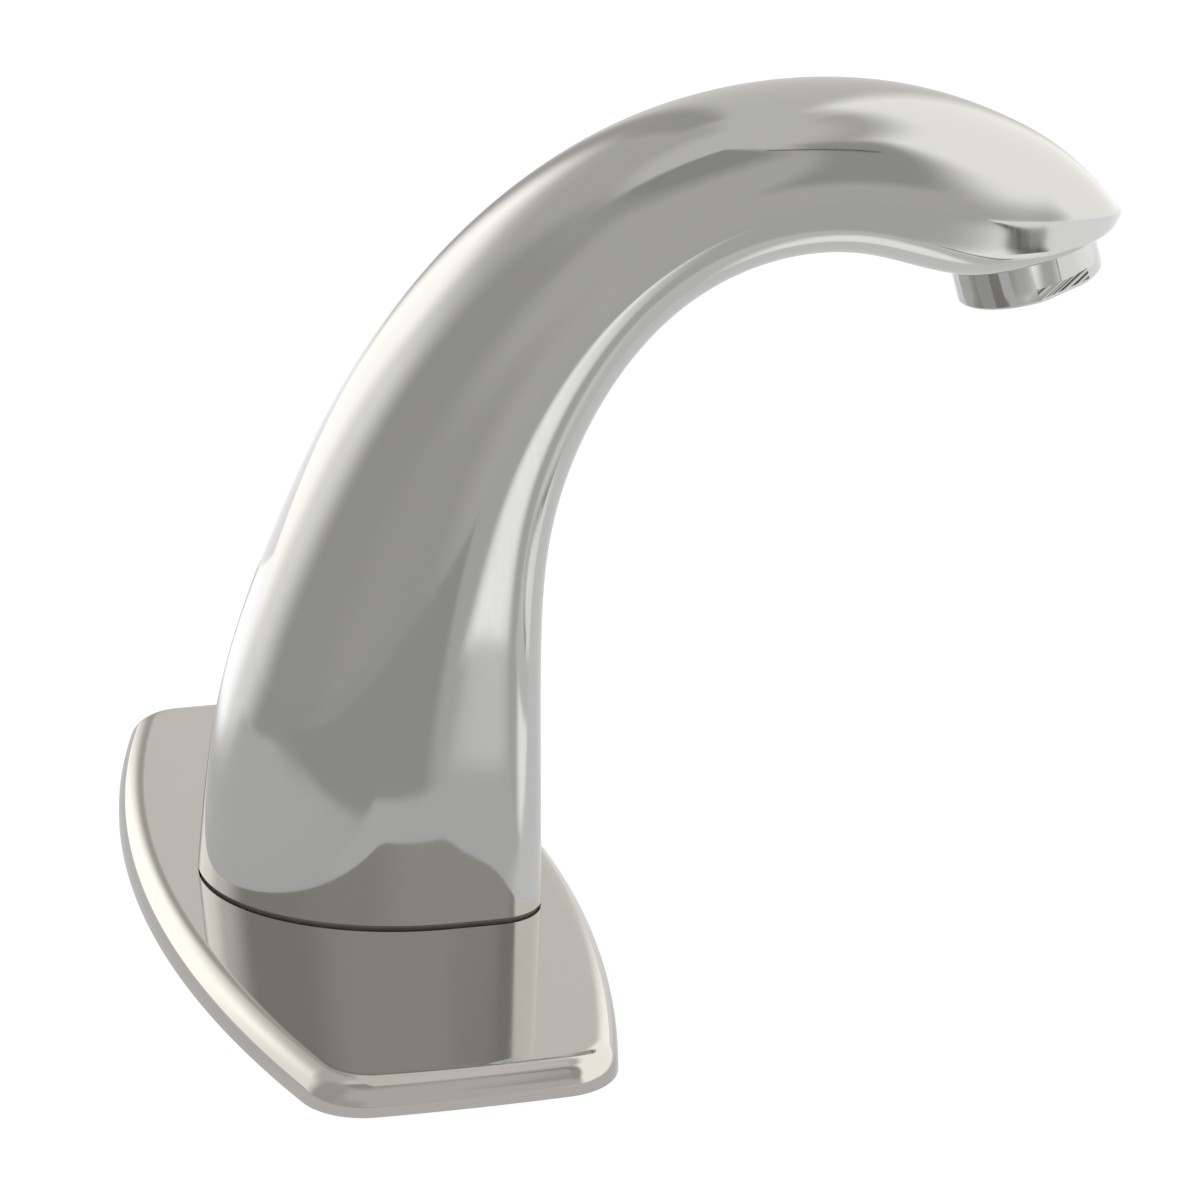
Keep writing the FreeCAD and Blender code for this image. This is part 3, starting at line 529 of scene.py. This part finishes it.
chrome = {
    # chromium gives back a little over half the light, almost neutral, and warmer on the plate
    "chrome_spout": {"name": "chromePlatedCastBrass", "colour": "#C3C4C3", "haze": (0.045, 0.085),
                     "hazeSize": 34.0, "waveSize": 46.0, "waveHeight": 0.035},
    "chrome_plate": {"name": "chromePlatedStampedBrass", "colour": "#CCC9C5", "haze": (0.05, 0.095),
                     "hazeSize": 22.0, "waveSize": 60.0, "waveHeight": 0.02},
    "chrome_aerator": {"name": "chromePlatedTurnedBrass", "colour": "#C3C4C3", "haze": (0.05, 0.1),
                       "hazeSize": 9.0, "waveSize": 24.0, "waveHeight": 0.004},
    "wipeSize": 0.6,               # mm between the fine wipe marks, drawn coarser than real ones
    "wipeStretch": (1.0, 0.9, 0.07),
    "wipeDepth": 0.012,            # how much they change the roughness
    "speckSize": 1.6,              # mm between dried drops too faint to see except as dull points
    "speckEdge": (0.04, 0.09),     # share of that, from a speck's middle to its edge
    "speckDullness": 0.05,
}

# Inputs 1 and 2 of a map range: most of a noise texture lies between these, so it is stretched from there.
spread = {1: 0.35, 2: 0.65}
wideSpread = {1: 0.3, 2: 0.7}


def chromeMaterial(look):
    # Bright nickel and chrome over polished brass: a near mirror that shows the room crisply, with
    # slow buffing waves, a faint haze where cloths and hands go, and a few dull specks.
    material, tree, shader, place = startMaterial(
        look["name"], Metallic=1.0, Base_Color=srgb(look["colour"]))
    haze = addNode(tree, "ShaderNodeTexNoise",
                   {"Vector": place, "Scale": 1 / (look["hazeSize"] * mm), "Detail": 4.0})
    low, high = look["haze"]
    dull = addNode(tree, "ShaderNodeMapRange", {0: haze, **spread, 3: low, 4: high})
    along = addNode(tree, "ShaderNodeMapping", {0: place, "Scale": chrome["wipeStretch"]})
    wipe = addNode(tree, "ShaderNodeTexNoise", {"Vector": along, "Scale": 1 / (chrome["wipeSize"] * mm)})
    depth = chrome["wipeDepth"]
    marks = addNode(tree, "ShaderNodeMapRange", {0: wipe, **spread, 3: -depth, 4: depth})
    specks = addNode(tree, "ShaderNodeTexVoronoi",
                     {"Vector": place, "Scale": 1 / (chrome["speckSize"] * mm)})
    middle, edge = chrome["speckEdge"]
    dots = addNode(tree, "ShaderNodeMapRange",
                   {0: specks, 1: middle, 2: edge, 3: chrome["speckDullness"], 4: 0.0})
    rough = addNode(tree, "ShaderNodeMath", {0: dull, 1: marks}, operation="ADD")
    rough = addNode(tree, "ShaderNodeMath", {0: rough, 1: dots}, operation="ADD")
    tree.links.new(rough, shader.inputs["Roughness"])
    waves = addNode(tree, "ShaderNodeTexNoise",
                    {"Vector": place, "Scale": 1 / (look["waveSize"] * mm), "Detail": 0.0})
    bump = addNode(tree, "ShaderNodeBump", {"Height": waves, "Distance": look["waveHeight"] * mm})
    tree.links.new(bump, shader.inputs["Normal"])
    return material


milled = {
    "markSize": 0.42,              # mm between the cutter's marks
    "slant": 38.0,                 # degrees up from the rim
    # painted shade and sheen of the cutter marks, mixed along them
    "dark": "#4C4C48",
    "light": "#C9C9C4",
    "spread": {1: 0.38, 2: 0.62},
    "roughness": 0.24,
    "markDepth": 0.02,
}


def milledMaterial():
    # The wrench flats: plated over cutter marks that run up at a slant, so they look hatched, by a bump and
    # by painted shade and sheen, darker and lighter stripes in the colour along the marks.
    material, tree, shader, place = startMaterial(
        "chromeOverMilling", Metallic=1.0, Roughness=milled["roughness"])
    slant = math.radians(milled["slant"])
    across = (0.0, math.sin(slant), math.cos(slant))
    line = addNode(tree, "ShaderNodeVectorMath", {0: place, 1: across}, "Value", operation="DOT_PRODUCT")
    marks = addNode(tree, "ShaderNodeTexNoise",
                    {"W": line, "Scale": 1 / (milled["markSize"] * mm), "Detail": 2.0},
                    noise_dimensions="1D")
    share = addNode(tree, "ShaderNodeMapRange", {0: marks, **milled["spread"]})
    colour = addNode(tree, "ShaderNodeMix", {0: share, 6: srgb(milled["dark"]), 7: srgb(milled["light"])},
                     "Result", data_type="RGBA")
    tree.links.new(colour, shader.inputs["Base Color"])
    bump = addNode(tree, "ShaderNodeBump", {"Height": marks, "Distance": milled["markDepth"] * mm})
    tree.links.new(bump, shader.inputs["Normal"])
    return material


metals = {
    # name, darker and lighter colour, roughness, mm of the tool's marks, their stretch, their depth in mm
    "brass": ("turnedBrass", "#B08C47", "#D6B36B", (0.2, 0.36), 0.35, (0.2, 0.2, 3.0), 0.012),
    "zinc_steel": ("zincPlatedSteel", "#A9ACAF", "#C4C6C7", (0.28, 0.44), 0.5, (1.0, 1.0, 0.2), 0.01),
    "stainless_steel": ("rolledStainlessSteel", "#BDBBB6", "#CDCBC6", (0.18, 0.32), 0.3, (1.0, 0.1, 1.0),
                        0.008),
}
tarnishSize = 8.0                  # mm from one cloud of tarnish to the next


def metalMaterial(name, dark, light, roughness, markSize, stretch, depth):
    # Worked metal: a colour that shifts a little with tarnish, and the grain that the tool left.
    material, tree, shader, place = startMaterial(name, Metallic=1.0)
    tarnish = addNode(tree, "ShaderNodeTexNoise",
                      {"Vector": place, "Scale": 1 / (tarnishSize * mm), "Detail": 4.0})
    share = addNode(tree, "ShaderNodeMapRange", {0: tarnish, **spread})
    colour = addNode(tree, "ShaderNodeMix", {0: share, 6: srgb(dark), 7: srgb(light)},
                     "Result", data_type="RGBA")
    tree.links.new(colour, shader.inputs["Base Color"])
    along = addNode(tree, "ShaderNodeMapping", {0: place, "Scale": stretch})
    grain = addNode(tree, "ShaderNodeTexNoise",
                    {"Vector": along, "Scale": 1 / (markSize * mm), "Detail": 3.0})
    rough = addNode(tree, "ShaderNodeMapRange", {0: grain, **wideSpread, 3: roughness[0], 4: roughness[1]})
    tree.links.new(rough, shader.inputs["Roughness"])
    bump = addNode(tree, "ShaderNodeBump", {"Height": grain, "Distance": depth * mm})
    tree.links.new(bump, shader.inputs["Normal"])
    return material


mouldings = {
    # name, darker and lighter colour, roughness, mm of the surface grain, its depth in mm, IOR
    "black_rubber": ("nitrileRubber", "#1B1B1C", "#2E2E2F", (0.55, 0.8), 0.4, 0.02, 1.52),
    # painted lighter: this colour lifts the seal out of the shade of its groove
    "seal_rubber": ("greySealRubberPaintedLighter", "#7A7A78", "#8C8C89", (0.5, 0.7), 0.4, 0.01, 1.43),
    "grey_plastic": ("mouldedGreyAcetal", "#595C5E", "#67696B", (0.36, 0.48), 0.5, 0.012, 1.48),
    "black_plastic": ("mouldedBlackNylon", "#17181A", "#242527", (0.42, 0.56), 0.4, 0.015, 1.53),
    "white_plastic": ("mouldedWhiteAcetal", "#D8D6D0", "#E7E6E1", (0.3, 0.42), 0.5, 0.01, 1.48),
    "water_tubing": ("drawnPolyethylene", "#C6CACB", "#D9DCDC", (0.3, 0.42), 1.2, 0.01, 1.51),
    "dark_window": ("infraredBlackAcrylic", "#0A0608", "#120A0D", (0.06, 0.12), 6.0, 0.002, 1.49),
    "circuit_board": ("greenSolderMask", "#12452A", "#1C5C38", (0.32, 0.44), 0.6, 0.01, 1.55),
    "clear_lens": ("clearCastEpoxy", "#C2C4CC", "#D8DAE0", (0.08, 0.15), 3.0, 0.003, 1.5),
    "dark_lens": ("darkCastEpoxy", "#101014", "#1B1B21", (0.08, 0.15), 3.0, 0.003, 1.5),
    "cable_jacket": ("extrudedSoftVinyl", "#1A1A1C", "#2A2A2C", (0.42, 0.55), 0.8, 0.012, 1.53),
}
flowSize = 6.0                     # mm from one cloud of the melt's flow to the next


def mouldedMaterial(name, dark, light, roughness, grainSize, depth, ior):
    # Moulded or drawn plastic, rubber or resin: cloudy flow marks in the colour and a fine even grain.
    material, tree, shader, place = startMaterial(name, IOR=ior)
    flow = addNode(tree, "ShaderNodeTexNoise",
                   {"Vector": place, "Scale": 1 / (flowSize * mm), "Detail": 4.0})
    share = addNode(tree, "ShaderNodeMapRange", {0: flow, **spread})
    colour = addNode(tree, "ShaderNodeMix", {0: share, 6: srgb(dark), 7: srgb(light)},
                     "Result", data_type="RGBA")
    tree.links.new(colour, shader.inputs["Base Color"])
    rough = addNode(tree, "ShaderNodeMapRange", {0: flow, **wideSpread, 3: roughness[0], 4: roughness[1]})
    tree.links.new(rough, shader.inputs["Roughness"])
    grain = addNode(tree, "ShaderNodeTexNoise",
                    {"Vector": place, "Scale": 1 / (grainSize * mm), "Detail": 3.0})
    bump = addNode(tree, "ShaderNodeBump", {"Height": grain, "Distance": depth * mm})
    tree.links.new(bump, shader.inputs["Normal"])
    return material


print("making the materials")
chromeSlots = ("chrome_spout", "chrome_plate", "chrome_aerator")
materials = {slot: chromeMaterial(chrome[slot]) for slot in chromeSlots}
materials.update({slot: metalMaterial(*look) for slot, look in metals.items()})
materials.update({slot: mouldedMaterial(*look) for slot, look in mouldings.items()})

for entry in frame["record"]["subparts"]:
    for holder in frame["nodes"][entry["node"]].material_slots:
        holder.material = materials[entry["material_slot"]]
# the seal under the spout is painted lighter than the rest of the rubber, against the shade of its groove,
# so that it shows as a fine grey line
frame["nodes"]["spout_seal"].material_slots[0].material = materials["seal_rubber"]
spoutPiece.data.materials.append(materials["chrome_spout"])
platePiece.data.materials.append(materials["chrome_plate"])
aeratorPiece.data.materials.append(materials["chrome_aerator"])
aeratorPiece.data.materials.append(milledMaterial())


room = {
    # What the chrome shows of the studio, in degrees.  Azimuth 0 is towards -Y, where the spout
    # points, and 90 towards +X.  A later patch lies over an earlier one.
    "wall": 0.62,
    "tint": (1.03, 1.01, 0.96),
    "patches": [
        # azimuth, elevation, half width, half height, turn, softness, brightness
        (62, 35, 24, 55, 0, 6, 0.76),            # wall on the right
        (-172, 22, 32, 44, 0, 16, 0.47),         # darker wall behind
        (-128, 4, 24, 18, 0, 12, 0.50),          # and behind on the left
        (0, 92, 200, 22, 0, 6, 0.78),            # ceiling
        (-120, 92, 62, 26, 0, 8, 0.40),          # its unlit left half
        (89, 27, 6, 30, 0, 3, 0.48),             # grey stand beside the soft box
        (133, 0, 24, 34, 0, 14, 1.15),           # glow round the soft box
        (115, 0, 18, 30, 0, 9, 1.62),            # big soft box on the right
        (3, 14, 53, 46, 0, 6, 1.3),              # white sheet in front of the nose
        (-50, 44, 12, 26, -34, 5, 0.44),         # grey curtain over the sheet's left edge
        (-50, 63, 15, 0.9, -55, 0.8, 0.10),      # dark rail under the ceiling
    ],
    "halfTurn": 180.0,                           # azimuths wrap round here
    "plain": 0.75,                               # what matt surfaces get from all round
}

deck = {
    "radius": 3.0,                               # metres
    "points": 96,
    "span": 1e6,                                 # mm, wider than the deck, so that no patch wraps round
    "tint": (1.0, 0.985, 0.985),
    "seenFrom": (20, 8, 65),                     # mm, from where the room's patches carry on over it
    # painted light and shade: the chrome sees the deck glow with these levels, in place of light falling
    # over it
    "patches": [
        # x, y, half width, half height in mm, turn in degrees, softness in mm, brightness
        (15, 190, 100, 150, -20, 45, 0.67),
        (-560, 240, 450, 250, 0, 12, 0.45),      # painted shade beyond the plate's left side
        (530, -848, 1500, 890, 32, 6, 1.15),     # painted light in front, where the white sheet runs on
        (-470, -420, 330, 7, 32, 6, 0.2),        # painted dark line where it starts
        (-460, -185, 235, 24, 27, 26, 1.45),     # painted strip of light on the left
        (-190, -66, 60, 13, 19.5, 20, 0.9),
        (-95, -8, 36, 58, 0, 5, 0.67),           # painted paler patch where the tap stands
        (-120, -160, 90, 22, 0, 8, 0.80),
        (90, -130, 150, 95, 0, 10, 0.87),
        (-170, -192, 70, 5, 6, 5, 0.36),
    ],
    "matt": "#D9D7D6",
    "seenShade": 0.34,                           # how much of the light and shadow the camera sees
    "seenGlow": 0.72,                            # and how much white is added to it
}


def patchShare(tree, across, upward, patch, span):
    # how much a soft-edged patch covers a place, from 0 to 1
    x, y, halfWidth, halfHeight, turn, soft, _ = patch
    dx = addNode(tree, "ShaderNodeMath", {0: across, 1: x}, operation="SUBTRACT")
    dx = addNode(tree, "ShaderNodeMath", {0: dx, 1: span, 2: -span}, operation="WRAP")
    dy = addNode(tree, "ShaderNodeMath", {0: upward, 1: y}, operation="SUBTRACT")
    away = addNode(tree, "ShaderNodeCombineXYZ", {0: dx, 1: dy})
    turned = addNode(tree, "ShaderNodeMapping", {0: away, 2: (0, 0, math.radians(turn))},
                     vector_type="TEXTURE")
    away = addNode(tree, "ShaderNodeVectorMath", {0: turned}, operation="ABSOLUTE")
    inside = addNode(tree, "ShaderNodeMapRange", {
        "Vector": away,
        "From Min": (halfWidth + soft, halfHeight + soft, 1),
        "From Max": (halfWidth - soft, halfHeight - soft, 0),
    }, "Vector", data_type="FLOAT_VECTOR", interpolation_type="SMOOTHSTEP")
    split = addNode(tree, "ShaderNodeSeparateXYZ", {0: inside}).node
    return addNode(tree, "ShaderNodeMath", {0: split.outputs[0], 1: split.outputs[1]}, operation="MULTIPLY")


def patchworkLevel(tree, across, upward, base, patches, span):
    # the brightness of the patches, each laid over the ones before it
    level = base
    for patch in patches:
        share = patchShare(tree, across, upward, patch, span)
        level = addNode(tree, "ShaderNodeMix", {0: share, 2: level, 3: patch[-1]},
                        "Result", data_type="FLOAT")
    return level


def roomLevel(tree, towards):
    # the room's brightness in a direction
    towards = addNode(tree, "ShaderNodeVectorMath", {0: towards}, operation="NORMALIZE")
    x, y, z = addNode(tree, "ShaderNodeSeparateXYZ", {0: towards}).node.outputs
    ahead = addNode(tree, "ShaderNodeMath", {0: y, 1: -1.0}, operation="MULTIPLY")
    turn = addNode(tree, "ShaderNodeMath", {0: x, 1: ahead}, operation="ARCTAN2")
    azimuth = addNode(tree, "ShaderNodeMath", {0: turn}, operation="DEGREES")
    rise = addNode(tree, "ShaderNodeMath", {0: z}, operation="ARCSINE")
    elevation = addNode(tree, "ShaderNodeMath", {0: rise}, operation="DEGREES")
    return patchworkLevel(tree, azimuth, elevation, room["wall"], room["patches"], room["halfTurn"])


def byRay(tree, matt, mirrored, white):
    # what the matt surfaces, the chrome and the camera each get
    path = addNode(tree, "ShaderNodeLightPath").node.outputs
    seen = addNode(tree, "ShaderNodeMath", {0: path["Is Camera Ray"], 1: path["Is Transmission Ray"]},
                   operation="MAXIMUM")
    unseen = addNode(tree, "ShaderNodeMixShader", {0: path["Is Glossy Ray"], 1: matt, 2: mirrored})
    return addNode(tree, "ShaderNodeMixShader", {0: seen, 1: unseen, 2: white})


def makeWorld():
    world = bpy.data.worlds.new("studio")
    bpy.context.scene.world = world
    world.use_nodes = True
    tree = world.node_tree
    tree.nodes.clear()
    level = roomLevel(tree, addNode(tree, "ShaderNodeTexCoord", output="Generated"))
    mirrored = addNode(tree, "ShaderNodeBackground", {"Color": (*room["tint"], 1), "Strength": level})
    plain = addNode(tree, "ShaderNodeBackground", {"Color": (1, 1, 1, 1), "Strength": room["plain"]})
    white = addNode(tree, "ShaderNodeBackground", {"Color": (1, 1, 1, 1), "Strength": 1.0})
    addNode(tree, "ShaderNodeOutputWorld", {"Surface": byRay(tree, plain, mirrored, white)})


def makeDeck():
    # the deck's top, at the plate's underside: white to the camera, with the tap's soft shadow, and to the
    # chrome a glow of painted light and shade by place
    points = [(x * deck["radius"], y * deck["radius"], 0) for x, y in circle(1.0, deck["points"])]
    floor = newMesh("floor", points, [tuple(range(len(points)))])
    material = bpy.data.materials.new("matteWhiteLaminate")
    material.use_nodes = True
    tree = material.node_tree
    tree.nodes.clear()
    place = addNode(tree, "ShaderNodeTexCoord", output="Object")
    inMm = addNode(tree, "ShaderNodeVectorMath", {0: place, "Scale": 1 / mm}, operation="SCALE")
    x, y, _ = addNode(tree, "ShaderNodeSeparateXYZ", {0: inMm}).node.outputs
    towards = addNode(tree, "ShaderNodeVectorMath", {0: inMm, 1: deck["seenFrom"]}, operation="SUBTRACT")
    # painted light and shade: the room's levels are carried over the deck, and the patches on top glow for
    # mirror rays
    level = patchworkLevel(tree, x, y, roomLevel(tree, towards), deck["patches"], deck["span"])
    mirrored = addNode(tree, "ShaderNodeEmission", {"Color": (*deck["tint"], 1), "Strength": level})
    matt = addNode(tree, "ShaderNodeBsdfDiffuse", {"Color": srgb(deck["matt"])})
    shade = deck["seenShade"]
    shaded = addNode(tree, "ShaderNodeBsdfDiffuse", {"Color": (shade, shade, shade, 1)})
    glow = addNode(tree, "ShaderNodeEmission", {"Color": (1, 1, 1, 1), "Strength": deck["seenGlow"]})
    white = addNode(tree, "ShaderNodeAddShader", {0: shaded, 1: glow})
    addNode(tree, "ShaderNodeOutputMaterial", {"Surface": byRay(tree, matt, mirrored, white)})
    floor.data.materials.append(material)


lamps = {
    # place, size and power in metres and watts; each points at the spout
    "softBoxRight": ((0.9, 0.5, 0.7), 0.8, 9.0),
    "softBoxFront": ((-0.5, -1.0, 0.9), 0.9, 7.0),
    "aim": (0.0, -0.03, 0.06),
}


def makeLamp(name):
    # the patches already show these lamps to the chrome, so only matt surfaces see them
    place, size, power = lamps[name]
    data = bpy.data.lights.new(name, "AREA")
    data.shape = "SQUARE"
    data.size = size
    data.energy = power
    lamp = bpy.data.objects.new(name, data)
    lamp.location = place
    lamp.rotation_euler = (Vector(lamps["aim"]) - Vector(place)).to_track_quat("-Z", "Y").to_euler()
    lamp.visible_glossy = False
    bpy.context.scene.collection.objects.link(lamp)


print("lighting the studio")
makeWorld()
makeDeck()
makeLamp("softBoxRight")
makeLamp("softBoxFront")


camera = {
    "azimuth": -106.792,             # degrees
    "elevation": 18.565,
    "roll": 1.457,
    "focalPixels": 3737.0,           # on an image 1200 pixels wide
    "imagePixels": 1200.0,
    "originPixel": (350.05, 890.72),   # where the middle of the plate's underside is seen
    "originDepth": 0.6043,           # metres in front of the camera
    "sensor": 36.0,
    "nearest": 0.01,                 # metres, where the picture starts
}


def makeCamera():
    az = math.radians(camera["azimuth"])
    el = math.radians(camera["elevation"])
    roll = math.radians(camera["roll"])
    back = Vector((math.sin(az) * math.cos(el), -math.cos(az) * math.cos(el), math.sin(el)))
    level = (-back).cross(Vector((0, 0, 1))).normalized()
    upright = level.cross(-back)
    right = level * math.cos(roll) + upright * math.sin(roll)
    up = upright * math.cos(roll) - level * math.sin(roll)
    depth = camera["originDepth"]
    aside = (camera["originPixel"][0] - camera["imagePixels"] / 2) * depth / camera["focalPixels"]
    below = (camera["originPixel"][1] - camera["imagePixels"] / 2) * depth / camera["focalPixels"]
    data = bpy.data.cameras.new("camera")
    data.sensor_width = camera["sensor"]
    data.lens = camera["focalPixels"] * camera["sensor"] / camera["imagePixels"]
    data.clip_start = camera["nearest"]
    obj = bpy.data.objects.new("camera", data)
    turn = Matrix((right, up, back)).transposed()
    obj.matrix_world = Matrix.Translation(up * below - right * aside + back * depth) @ turn.to_4x4()
    bpy.context.scene.collection.objects.link(obj)
    bpy.context.scene.camera = obj


makeCamera()
bpy.context.scene.view_settings.view_transform = "Standard"

print("pieces ready")
